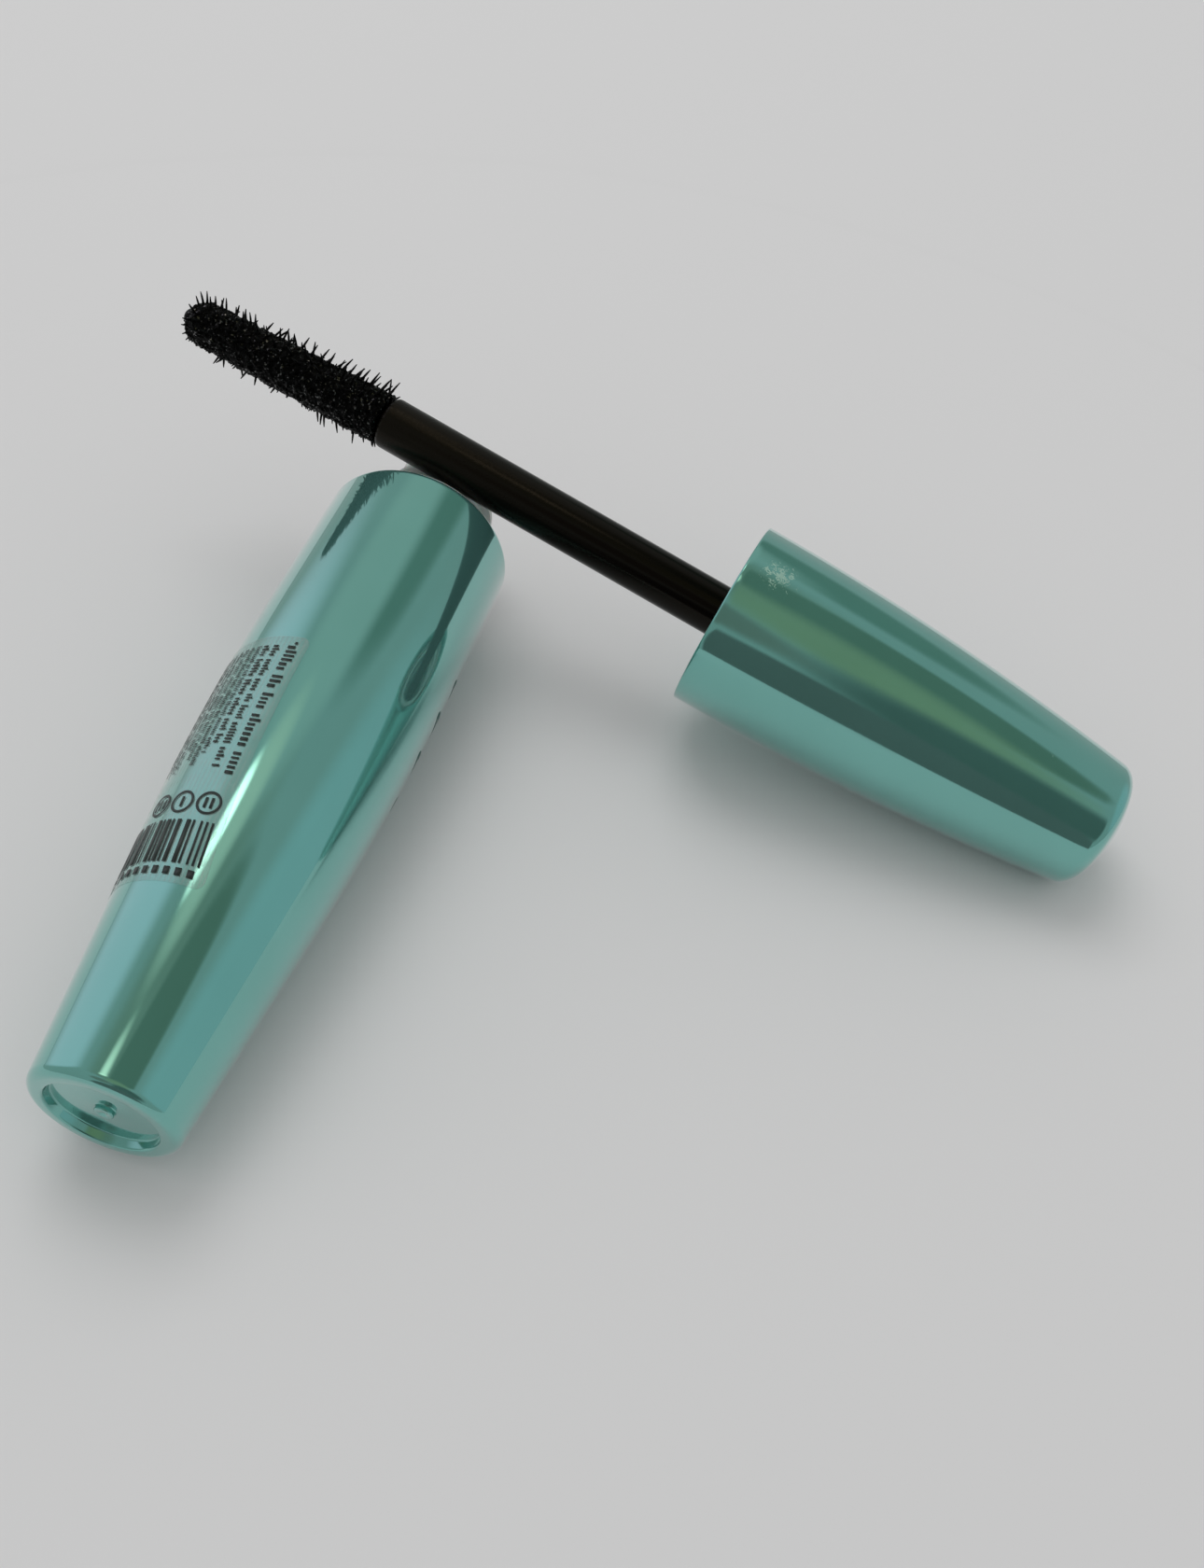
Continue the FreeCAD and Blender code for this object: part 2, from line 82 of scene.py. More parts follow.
def add_node(tree: Tree, kind: str, inputs: dict | None = None,
             **settings: object) -> Node:
    """Add a node, set it and link it.

    Args:
        tree: the tree that takes the node.
        kind: the node's type after ShaderNode, such as Mapping.
        inputs: a value, an output socket or a node whose first output in use is
            linked, for each input by name or number.
        settings: values of the node's own properties.

    Returns:
        The new node.
    """
    node = tree.nodes.new("ShaderNode" + kind)
    for name, value in settings.items():
        setattr(node, name, value)
    for name, value in (inputs or {}).items():
        if isinstance(value, Node):
            value = next(output for output in value.outputs if output.enabled)
        if isinstance(value, Socket):
            tree.links.new(value, node.inputs[name])
        else:
            node.inputs[name].default_value = value
    return node


def mottled(tree: Tree, where: Socket, size: float, detail: float, first: str,
            second: str) -> tuple[Node, Node]:
    """Blend two colours in soft clouds.

    Args:
        tree: the material's tree.
        where: the coordinates.
        size: the clouds' size, in the coordinates' own unit.
        detail: how many finer layers the clouds have.
        first: the colour between the clouds.
        second: the colour in their middle.

    Returns:
        The clouds and the colour.
    """
    clouds = add_node(tree, "TexNoise", {
        "Vector": where, "Scale": 1 / size, "Detail": detail})
    blend = add_node(tree, "Mix", {
        "Factor": clouds, "A": linear(first), "B": linear(second)}, data_type="RGBA")
    return clouds, blend


@dataclass(frozen=True)
class Axis:
    """Where a turned piece lies: its zero point and the way its heights rise."""

    zero: Vector
    way: Vector

    def matrix(self) -> Matrix:
        """The piece's frame in metres: Z along the axis, X level, Y pointing down."""
        level = self.way.cross(UP).normalized()
        down = self.way.cross(level)
        turn = Matrix((level, down, self.way)).transposed().to_4x4()
        return Matrix.Translation(self.zero) @ turn

    def place(self, piece: Piece) -> None:
        """Lay a piece that was drawn in millimetres about its own axis.

        Args:
            piece: the piece, whose place ends up in its mesh.
        """
        piece.data.transform(self.matrix() @ Matrix.Scale(MM, 4))
        piece.data.update()

    def measured(self, tree: Tree, where: Socket, stretch: float = 1.0) -> Node:
        """Coordinates in millimetres about the axis.

        Args:
            tree: the material's tree.
            where: object coordinates.
            stretch: how many times longer a pattern comes out along the axis.

        Returns:
            The coordinates, with Z along the axis.
        """
        back = self.matrix().inverted()
        centred = add_node(tree, "Mapping", {
            "Vector": where, "Rotation": tuple(back.to_euler()),
            "Location": tuple(back.translation)})
        return add_node(tree, "Mapping", {
            "Vector": centred, "Scale": (1 / MM, 1 / MM, 1 / MM / stretch)})


# --- Finishes ---

@dataclass(frozen=True)
class Finish:
    """What every finish shares: one shader, and patterns laid out in real sizes."""

    name: str

    def surface(self, tree: Tree, where: Socket) -> dict[str, object]:
        """The shader's inputs.

        Args:
            tree: the material's tree.
            where: object coordinates.

        Returns:
            A constant, or a node that varies over the piece, by the input's name.
        """
        return {}

    def material(self) -> bpy.types.Material:
        """Build the finish."""
        material = bpy.data.materials.new(self.name)
        material.use_nodes = True
        tree = material.node_tree
        tree.nodes.clear()
        where = add_node(tree, "TexCoord").outputs["Object"]
        shader = add_node(tree, "BsdfPrincipled", self.surface(tree, where))
        add_node(tree, "OutputMaterial", {"Surface": shader})
        return material


@dataclass(frozen=True)
class MetallisedLacquer(Finish):
    """Moulded ABS, vacuum metallised and coated with a clear blue-green lacquer.

    The aluminium film mirrors the room and the dye tints it. The lacquer scatters a
    little, so nothing in it goes quite black, and adds its own gloss, a slight orange
    peel and fine hairlines from handling.
    """

    place: Axis
    scuff_at: tuple[float, float, float] | None = None
    tint: str = "#74B8AF"
    pale_tint: str = "#7CC1B9"
    cloud_mm: float = 9.0
    mirror_share: float = 0.76
    roughness: float = 0.07
    worn_roughness: float = 0.15
    hairline_mm: float = 0.8
    hairline_stretch: float = 40.0
    peel_mm: float = 2.4
    peel_depth_mm: float = 0.02
    scuff_reach_mm: float = 3.2
    stroke_mm: float = 0.55
    rubbed_tint: str = "#B9E6DA"
    rubbed_roughness: float = 0.42

    def surface(self, tree: Tree, where: Socket) -> dict[str, object]:
        """A clear-coated mirror with a cloudy tint, hairlines and the scuff, if any."""
        along = self.place.measured(tree, where, self.hairline_stretch)
        hairlines = add_node(tree, "TexNoise", {
            "Vector": along, "Scale": 1 / self.hairline_mm, "Detail": 3.0})
        rough = add_node(tree, "MapRange", {
            "Value": hairlines, "From Min": 0.62, "From Max": 0.8,
            "To Min": self.roughness, "To Max": self.worn_roughness})
        even = self.place.measured(tree, where)
        tint = mottled(tree, even, self.cloud_mm, 2.0, self.tint, self.pale_tint)[1]
        if self.scuff_at is not None:
            tint, rough = self.scuffed(tree, where, tint, rough)
        peel = add_node(tree, "TexNoise", {
            "Vector": even, "Scale": 1 / self.peel_mm, "Detail": 1.0})
        bump = add_node(tree, "Bump", {
            "Height": peel, "Strength": 0.05, "Distance": self.peel_depth_mm * MM})
        return {"Base Color": tint, "Metallic": self.mirror_share, "Roughness": rough,
                "Coat Weight": 1.0, "Coat Roughness": 0.03, "Coat IOR": 1.5,
                "Normal": bump}

    def scuffed(self, tree: Tree, where: Socket, tint: Node,
                rough: Node) -> tuple[Node, Node]:
        """Rub a patch of the lacquer through in short crossed strokes.

        Args:
            tree: the material's tree.
            where: object coordinates.
            tint: the sound lacquer's colour.
            rough: the sound lacquer's roughness.

        Returns:
            The colour and the roughness with the patch in them.
        """
        away = add_node(tree, "VectorMath", {
            0: where, 1: self.scuff_at}, operation="DISTANCE")
        near = add_node(tree, "MapRange", {
            "Value": away, "From Min": self.scuff_reach_mm * MM, "From Max": 0.0,
            "To Min": 0.0, "To Max": 0.36})
        strokes = add_node(tree, "TexNoise", {
            "Vector": where, "Scale": 1 / (self.stroke_mm * MM), "Detail": 5.0,
            "Distortion": 1.6})
        rubbed = add_node(tree, "Math", {0: strokes, 1: near}, operation="ADD")
        patch = add_node(tree, "MapRange", {
            "Value": rubbed, "From Min": 0.74, "From Max": 0.82})
        paler = add_node(tree, "Mix", {
            "Factor": patch, "A": tint, "B": linear(self.rubbed_tint)},
            data_type="RGBA")
        duller = add_node(tree, "Mix", {
            "Factor": patch, "A": rough, "B": self.rubbed_roughness}, data_type="FLOAT")
        return paler, duller


@dataclass(frozen=True)
class NaturalPolypropylene(Finish):
    """Undyed polypropylene, injection moulded: milky, see-through at the edges, satin."""

    colour: str = "#D3DCD8"
    clearness: float = 0.25
    roughness: float = 0.3
    flow_colour: str = "#C2CECA"
    flow_mm: float = 4.0
    grain_mm: float = 0.5
    grain_depth_mm: float = 0.01

    def surface(self, tree: Tree, where: Socket) -> dict[str, object]:
        """Milky plastic with faint flow marks and the mould's fine grain."""
        shade = mottled(
            tree, where, self.flow_mm * MM, 3.0, self.colour, self.flow_colour)[1]
        grain = add_node(tree, "TexNoise", {
            "Vector": where, "Scale": 1 / (self.grain_mm * MM)})
        rough = add_node(tree, "MapRange", {
            "Value": grain, "To Min": self.roughness - 0.05,
            "To Max": self.roughness + 0.08})
        bump = add_node(tree, "Bump", {
            "Height": grain, "Strength": 0.04, "Distance": self.grain_depth_mm * MM})
        return {"Base Color": shade, "Transmission Weight": self.clearness, "IOR": 1.49,
                "Subsurface Weight": 0.25, "Subsurface Scale": 1.5 * MM,
                "Roughness": rough, "Normal": bump}


@dataclass(frozen=True)
class MouldedAcetal(Finish):
    """Black acetal, injection moulded and polished by the wiper.

    Near the brush a dried film of mascara leaves it satin, and the base colour turns
    faintly brown there: a painted highlight for the warm gloss near the brush. Towards
    the cap it stays glossy.
    """

    place: Axis
    brush_end_mm: float
    cap_end_mm: float
    colour: str = "#040404"
    # faintly brown near the brush: a painted highlight over the dried mascara film
    film_and_highlight_colour: str = "#0A0805"
    speckle_mm: float = 0.3
    speckle_depth_mm: float = 0.05
    drag_mm: float = 0.5
    drag_stretch: float = 25.0
    drag_roughness: float = 0.16

    def surface(self, tree: Tree, where: Socket) -> dict[str, object]:
        """A film, faintly brown as a painted highlight, that fades towards the cap, with drag marks and dried
        specks in it.
        """
        inside = self.place.measured(tree, where)
        height = add_node(tree, "SeparateXYZ", {"Vector": inside}).outputs["Z"]
        # mask of the dried film near the brush; it also carries the painted highlight's brown
        film = add_node(tree, "MapRange", {
            "Value": height, "From Min": self.brush_end_mm,
            "From Max": self.cap_end_mm, "To Min": 1.0, "To Max": 0.0},
            interpolation_type="SMOOTHSTEP")
        speckle = add_node(tree, "TexNoise", {
            "Vector": inside, "Scale": 1 / self.speckle_mm, "Detail": 4.0})
        drag = add_node(tree, "TexNoise", {
            "Vector": self.place.measured(tree, where, self.drag_stretch),
            "Scale": 1 / self.drag_mm, "Detail": 3.0})
        # painted highlight: near the brush the base colour turns faintly brown for the warm gloss there; the
        # film's satin roughness and specks stand for dried mascara
        colour = add_node(tree, "Mix", {
            "Factor": film, "A": linear(self.colour), "B": linear(self.film_and_highlight_colour)},
            data_type="RGBA")
        satin = add_node(tree, "MapRange", {
            "Value": film, "To Min": 0.14, "To Max": 0.26})
        uneven = add_node(tree, "Math", {
            0: drag, 1: self.drag_roughness, 2: satin}, operation="MULTIPLY_ADD")
        centred = add_node(tree, "Math", {
            0: uneven, 1: self.drag_roughness / 2}, operation="SUBTRACT")
        relief = add_node(tree, "Math", {0: speckle, 1: film}, operation="MULTIPLY")
        bump = add_node(tree, "Bump", {
            "Height": relief, "Strength": 0.5, "Distance": self.speckle_depth_mm * MM})
        return {"Base Color": colour, "Roughness": centred, "IOR": 1.48,
                "Specular IOR Level": 0.16, "Specular Tint": linear("#FFF3DE"),
                "Normal": bump}


@dataclass(frozen=True)
class WetMascara(Finish):
    """Black mascara, still wet: a soft waxy paste with small bright glints on its lumps."""

    lump_mm: float = 0.32
    relief_mm: float = 0.12
    smear_mm: float = 0.6
    bead_mm: float = 0.4

    def surface(self, tree: Tree, where: Socket) -> dict[str, object]:
        """A dull lumpy paste with smears, and glossy wet beads here and there."""
        lumps = add_node(tree, "TexVoronoi", {
            "Vector": where, "Scale": 1 / (self.lump_mm * MM)})
        smear, colour = mottled(
            tree, where, self.smear_mm * MM, 4.0, "#010101", "#030303")
        rough = add_node(tree, "MapRange", {
            "Value": smear, "From Min": 0.35, "From Max": 0.65, "To Min": 0.14,
            "To Max": 0.55})
        beads = add_node(tree, "TexNoise", {
            "Vector": where, "Scale": 1 / (self.bead_mm * MM)})
        wet = add_node(tree, "MapRange", {
            "Value": beads, "From Min": 0.6, "From Max": 0.68})
        bump = add_node(tree, "Bump", {
            "Height": lumps, "Strength": 0.8, "Distance": self.relief_mm * MM})
        return {"Base Color": colour, "Roughness": rough, "IOR": 1.5,
                "Specular IOR Level": 0.05, "Coat Weight": wet, "Coat Roughness": 0.05,
                "Coat IOR": 1.9, "Normal": bump}


@dataclass(frozen=True)
class BrushElastomer(Finish):
    """Black thermoplastic elastomer, injection moulded: soft, dull, smeared with mascara."""

    smear_mm: float = 0.5

    def surface(self, tree: Tree, where: Socket) -> dict[str, object]:
        """A dull rubber with shinier smears."""
        smear, colour = mottled(
            tree, where, self.smear_mm * MM, 3.0, "#020202", "#060606")
        rough = add_node(tree, "MapRange", {
            "Value": smear, "To Min": 0.25, "To Max": 0.6})
        return {"Base Color": colour, "Roughness": rough, "IOR": 1.5,
                "Specular IOR Level": 0.14}


@dataclass(frozen=True)
class ClearFilm(Finish):
    """Clear polypropylene label film: nearly unseen, a little milky from its adhesive."""

    milk: float = 0.16
    glue_mm: float = 3.0

    def surface(self, tree: Tree, where: Socket) -> dict[str, object]:
        """A glossy film over glue that is milkier in some places."""
        glue = add_node(tree, "TexNoise", {
            "Vector": where, "Scale": 1 / (self.glue_mm * MM), "Detail": 4.0})
        milk = add_node(tree, "MapRange", {
            "Value": glue, "To Min": self.milk * 0.6, "To Max": self.milk * 1.4})
        return {"Base Color": linear("#C9DCD6"), "Roughness": 0.18, "IOR": 1.49,
                "Alpha": milk}


@dataclass(frozen=True)
class PrintInk(Finish):
    """Screen-printing ink: opaque, satin, a little uneven where it went on thin."""

    colour: str
    thin_colour: str
    thin_mm: float = 0.4

    def surface(self, tree: Tree, where: Socket) -> dict[str, object]:
        """A satin ink, paler where it is thin."""
        shade = mottled(
            tree, where, self.thin_mm * MM, 2.0, self.colour, self.thin_colour)[1]
        return {"Base Color": shade, "Roughness": 0.38, "IOR": 1.5}


@dataclass(frozen=True)
class PaleTable(Finish):
    """A matt pale grey laminate."""

    def surface(self, tree: Tree, where: Socket) -> dict[str, object]:
        """One colour all over."""
        return {"Base Color": linear("#E3E3E3"), "Roughness": 0.9,
                "Specular IOR Level": 0.1}


# --- Modelling ---

def arc(centre: tuple[float, float], radius: float, start: float, end: float,
        steps: int) -> Outline:
    """Points along an arc.

    Args:
        centre: the arc's centre as radius and height.
        radius: the arc's radius.
        start: the first point's direction, in degrees from outwards towards up.
        end: the last point's direction.
        steps: how many pieces the arc is cut into.

    Returns:
        The points, both ends included.
    """
    turns = [math.radians(start + (end - start) * step / steps) for step in range(steps + 1)]
    return [(centre[0] + radius * math.cos(turn), centre[1] + radius * math.sin(turn))
            for turn in turns]


def softened(before: tuple[float, float], corner: tuple[float, float],
             after: tuple[float, float], radius: float, steps: int = 5) -> Outline:
    """Round the corner between two straight sides.

    Args:
        before: the point before the corner.
        corner: the sharp corner.
        after: the point after the corner.
        radius: the rounding's radius.
        steps: how many pieces the rounding is cut into.

    Returns:
        The points that take the corner's place.
    """
    tip = Vector(corner)
    back = (Vector(before) - tip).normalized()
    on = (Vector(after) - tip).normalized()
    half = back.angle(on) / 2
    centre = tip + (back + on).normalized() * radius / math.sin(half)
    reach = radius / math.tan(half)
    first = (tip + back * reach - centre).normalized()
    last = (tip + on * reach - centre).normalized()
    return [tuple(centre + first.slerp(last, step / steps) * radius)
            for step in range(steps + 1)]


def crossing(first: Vector, first_radius: float, second: Vector,
             second_radius: float) -> Vector:
    """Where two circles cross, at the higher of the two places.

    Args:
        first: one circle's centre.
        first_radius: its radius.
        second: the other circle's centre.
        second_radius: its radius.

    Returns:
        The crossing point.
    """
    between = second - first
    gap = between.length
    along = (gap ** 2 + first_radius ** 2 - second_radius ** 2) / (2 * gap)
    aside = math.sqrt(first_radius ** 2 - along ** 2)
    way = between / gap
    square = Vector((-way.y, way.x))
    options = [first + way * along + square * aside, first + way * along - square * aside]
    return max(options, key=lambda point: point.y)


def select_none() -> None:
    """Leave edit mode and deselect everything."""
    if bpy.context.mode != "OBJECT":
        bpy.ops.object.mode_set(mode="OBJECT")
    bpy.ops.object.select_all(action="DESELECT")


def turned(name: str, outline: Outline, sides: int = ROUND_STEPS,
           sharp_degrees: float = 38.0) -> Piece:
    """Model a turned piece: a ring is drawn and pulled out from point to point.

    Args:
        name: the piece's name.
        outline: half of its section as radius and height, in millimetres.
        sides: how many sides the rings have.
        sharp_degrees: edges that turn more than this stay crisp.

    Returns:
        The piece, in millimetres about the world's Z axis.
    """
    axis_radius = 0.001
    rings = [(max(radius, axis_radius), height) for radius, height in outline]
    select_none()
    bpy.ops.mesh.primitive_circle_add(
        vertices=sides, radius=rings[0][0], location=(0, 0, rings[0][1]),
        enter_editmode=True)
    for (radius, height), (wider, higher) in zip(rings, rings[1:]):
        bpy.ops.mesh.extrude_edges_move(
            TRANSFORM_OT_translate={"value": (0, 0, higher - height)})
        bpy.ops.transform.resize(
            value=(wider / radius, wider / radius, 1), center_override=(0, 0, higher))
    return finished(name, sharp_degrees, axis_radius * 2.5)


def finished(name: str, sharp_degrees: float, weld: float) -> Piece:
    """Weld the mesh in edit mode, turn its faces outwards, smooth it and name it.

    Args:
        name: the piece's name.
        sharp_degrees: edges that turn more than this stay crisp.
        weld: points nearer than this, in millimetres, become one.

    Returns:
        The piece, with its place in its mesh.
    """
    bpy.ops.mesh.select_all(action="SELECT")
    bpy.ops.mesh.remove_doubles(threshold=weld)
    bpy.ops.mesh.normals_make_consistent(inside=False)
    bpy.ops.object.mode_set(mode="OBJECT")
    bpy.ops.object.transform_apply(location=True, rotation=True, scale=True)
    bpy.ops.object.shade_smooth_by_angle(angle=math.radians(sharp_degrees))
    return named(bpy.context.object, name)


def named(piece: Piece, name: str) -> Piece:
    """Name a piece and its mesh, and return the piece."""
    piece.name = name
    piece.data.name = name
    return piece


def plate(across: float, height: float, wide: float, tall: float) -> None:
    """Add a flat block, to the drawing in edit mode or as the start of a new one.

    Args:
        across: its middle's X.
        height: its middle's Y.
        wide: its size along X.
        tall: its size along Y.
    """
    bpy.ops.mesh.primitive_plane_add(
        size=1, location=(across, height, 0), enter_editmode=True)
    bpy.ops.transform.resize(value=(wide, tall, 1), center_override=(across, height, 0))


def cut_strips(count: int, axis: int, start: float, span: float) -> None:
    """Cut the drawing in edit mode into equal strips, so that it can be bent.

    Args:
        count: how many strips.
        axis: the axis that they follow each other on: 0 for X, 1 for Y.
        start: where the first one starts.
        span: how long they are together.
    """
    for strip in range(1, count):
        place, facing = [0.0] * 3, [0.0] * 3
        place[axis] = start + span * strip / count
        facing[axis] = 1.0
        bpy.ops.mesh.select_all(action="SELECT")
        bpy.ops.mesh.bisect(plane_co=place, plane_no=facing)


def modified(piece: Piece, kind: str, **settings: object) -> None:
    """Shape a piece with a modifier, and apply it.

    Args:
        piece: the piece.
        kind: the modifier's type.
        settings: values of its properties.
    """
    select_none()
    piece.select_set(True)
    bpy.context.view_layer.objects.active = piece
    modifier = piece.modifiers.new(kind, kind)
    for name, value in settings.items():
        setattr(modifier, name, value)
    bpy.ops.object.modifier_apply(modifier=modifier.name)


def thicken(piece: Piece, thickness: float) -> None:
    """Give a flat drawing its thickness, upwards.

    Args:
        piece: the drawing.
        thickness: how thick it becomes, in millimetres.
    """
    modified(piece, "SOLIDIFY", thickness=thickness, offset=1.0)
    lowest = min(point.co.z for point in piece.data.vertices)
    for point in piece.data.vertices:
        point.co.z -= lowest


def dressed(piece: Piece, material: bpy.types.Material, body: str, slot: str,
            *stands_for: str) -> None:
    """Finish a piece: its material, its body and the nodes it stands for.

    Args:
        piece: the piece, in place.
        material: its finish.
        body: the body that it moves with.
        slot: the record's material slot; not used.
        stands_for: the nodes that it is shown for.
    """
    recoloured(piece, material)
    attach(piece, body)
    if stands_for:
        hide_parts(*stands_for)


def recoloured(piece: Piece, material: bpy.types.Material) -> None:
    """Give a piece, new or packed, its one material.

    Args:
        piece: the piece.
        material: its material.
    """
    piece.data.materials.clear()
    piece.data.materials.append(material)
    log.info("%s: %d faces", piece.name, len(piece.data.polygons))


# --- Bottle ---

@dataclass
class Bottle:
    """The metallised bottle with its threaded neck, wiper and what is left inside."""

    axis: Axis
    length: float = 76.9
    belly_radius: float = 11.0
    base_radius: float = 7.0
    cone_top: float = 21.5
    belly_start: float = 58.0
    side_bend: float = 360.0
    base_round: float = 1.0
    ring_round: float = 0.25
    shoulder_round: float = 1.2
    lip_radius: float = 9.3
    lip_depth: float = 3.4
    crisp: float = 0.12
    wall: float = 1.1
    floor: float = 2.4
    recess_radius: float = 5.3
    recess_depth: float = 0.9
    recess_round: float = 0.2
    gate_radius: float = 0.9
    gate_top: float = 0.45
    gate_height: float = 0.5
    gate_round: float = 0.15

    def side_radius(self, height: float) -> float:
        """The outer radius at a height up the bottle."""
        bend_centre = self.belly_radius - self.side_bend
        below = max(0.0, self.belly_start - max(height, self.cone_top))
        radius = bend_centre + math.sqrt(self.side_bend ** 2 - below ** 2)
        if height < self.cone_top:
            slope = (radius - self.base_radius) / self.cone_top
            radius -= slope * (self.cone_top - height)
        return radius

    def on_side(self, angle: float, height: float, lift: float) -> Vector:
        """A point on the bottle's side.

        Args:
            angle: degrees round the axis, where -90 is the top as it lies.
            height: height up the bottle.
            lift: how far the point stands off the surface.

        Returns:
            The point, in millimetres about the bottle's own axis.
        """
        radius = self.side_radius(height) + lift
        turn = math.radians(angle)
        return Vector((radius * math.cos(turn), radius * math.sin(turn), height))

    def base_outline(self) -> Outline:
        """The section of the base, from the gate's mark out to the foot of the side."""
        deep, gate = self.recess_depth, self.gate_radius
        peak = deep - self.gate_height
        top, rim, foot = (self.gate_top, peak), (gate, peak), (gate, deep)
        disc_edge = (self.recess_radius - self.recess_round, deep)
        ring_foot = (self.recess_radius, 0.0)
        corner = (self.base_radius, 0.0)
        side = (self.side_radius(self.cone_top), self.cone_top)
        return [
            (0.0, peak + 0.25), (0.3, peak + 0.06), top,
            *softened(top, rim, foot, self.gate_round),
            *softened(rim, foot, (disc_edge[0], deep), self.crisp),
            *softened(foot, disc_edge, ring_foot, self.recess_round),
            *softened(disc_edge, ring_foot, corner, self.ring_round),
            *softened(ring_foot, corner, side, self.base_round, 10)]

    def shell_outline(self) -> Outline:
        """The shell's section, from the gate's mark out, up the side and back inside."""
        cone = self.side_radius(self.cone_top)
        bend_centre = (self.belly_radius - self.side_bend, self.belly_start)
        low = math.degrees(math.asin((self.cone_top - self.belly_start) / self.side_bend))
        belly = (self.belly_radius, self.belly_start)
        shoulder = (self.belly_radius, self.length)
        lip = (self.lip_radius, self.length)
        lip_bottom = (self.lip_radius, self.length - self.lip_depth)
        inside = self.belly_radius - self.wall
        inner_base = self.base_radius - self.wall
        return [
            *self.base_outline(),
            *arc(bend_centre, self.side_bend, low, 0.0, 36),
            *softened(belly, shoulder, lip, self.shoulder_round, 12),
            *softened(shoulder, lip, lip_bottom, self.crisp),
            lip_bottom,
            (inside, self.length - self.lip_depth - 0.6),
            (inside, self.belly_start),
            (cone - self.wall, self.cone_top),
            (inner_base - 0.5, self.floor + 0.5),
            (inner_base - 1.0, self.floor),
            (0.0, self.floor)]

    def build(self) -> None:
        """Model and dress the bottle's pieces."""
        shell = turned("shell", self.shell_outline())
        self.axis.place(shell)
        lacquer = MetallisedLacquer("metallised_lacquer", self.axis).material()
        dressed(shell, lacquer, "bottle", "metallised_plastic", "bottle_shell")
        inside = {
            "inner_vial": NaturalPolypropylene("natural_polypropylene"),
            "wiper": NaturalPolypropylene("natural_polyethylene", "#E2E2DC", 0.1, 0.4),
            "mascara_fill": WetMascara("mascara_in_vial", lump_mm=1.2, relief_mm=0.3)}
        for node, finish in inside.items():
            recoloured(frame["nodes"][node], finish.material())


# --- Print on the bottle ---

class Size(Enum):
    """The heights of the small print, in millimetres."""

    LARGE = 1.15
    MEDIUM = 0.8
    SMALL = 0.55


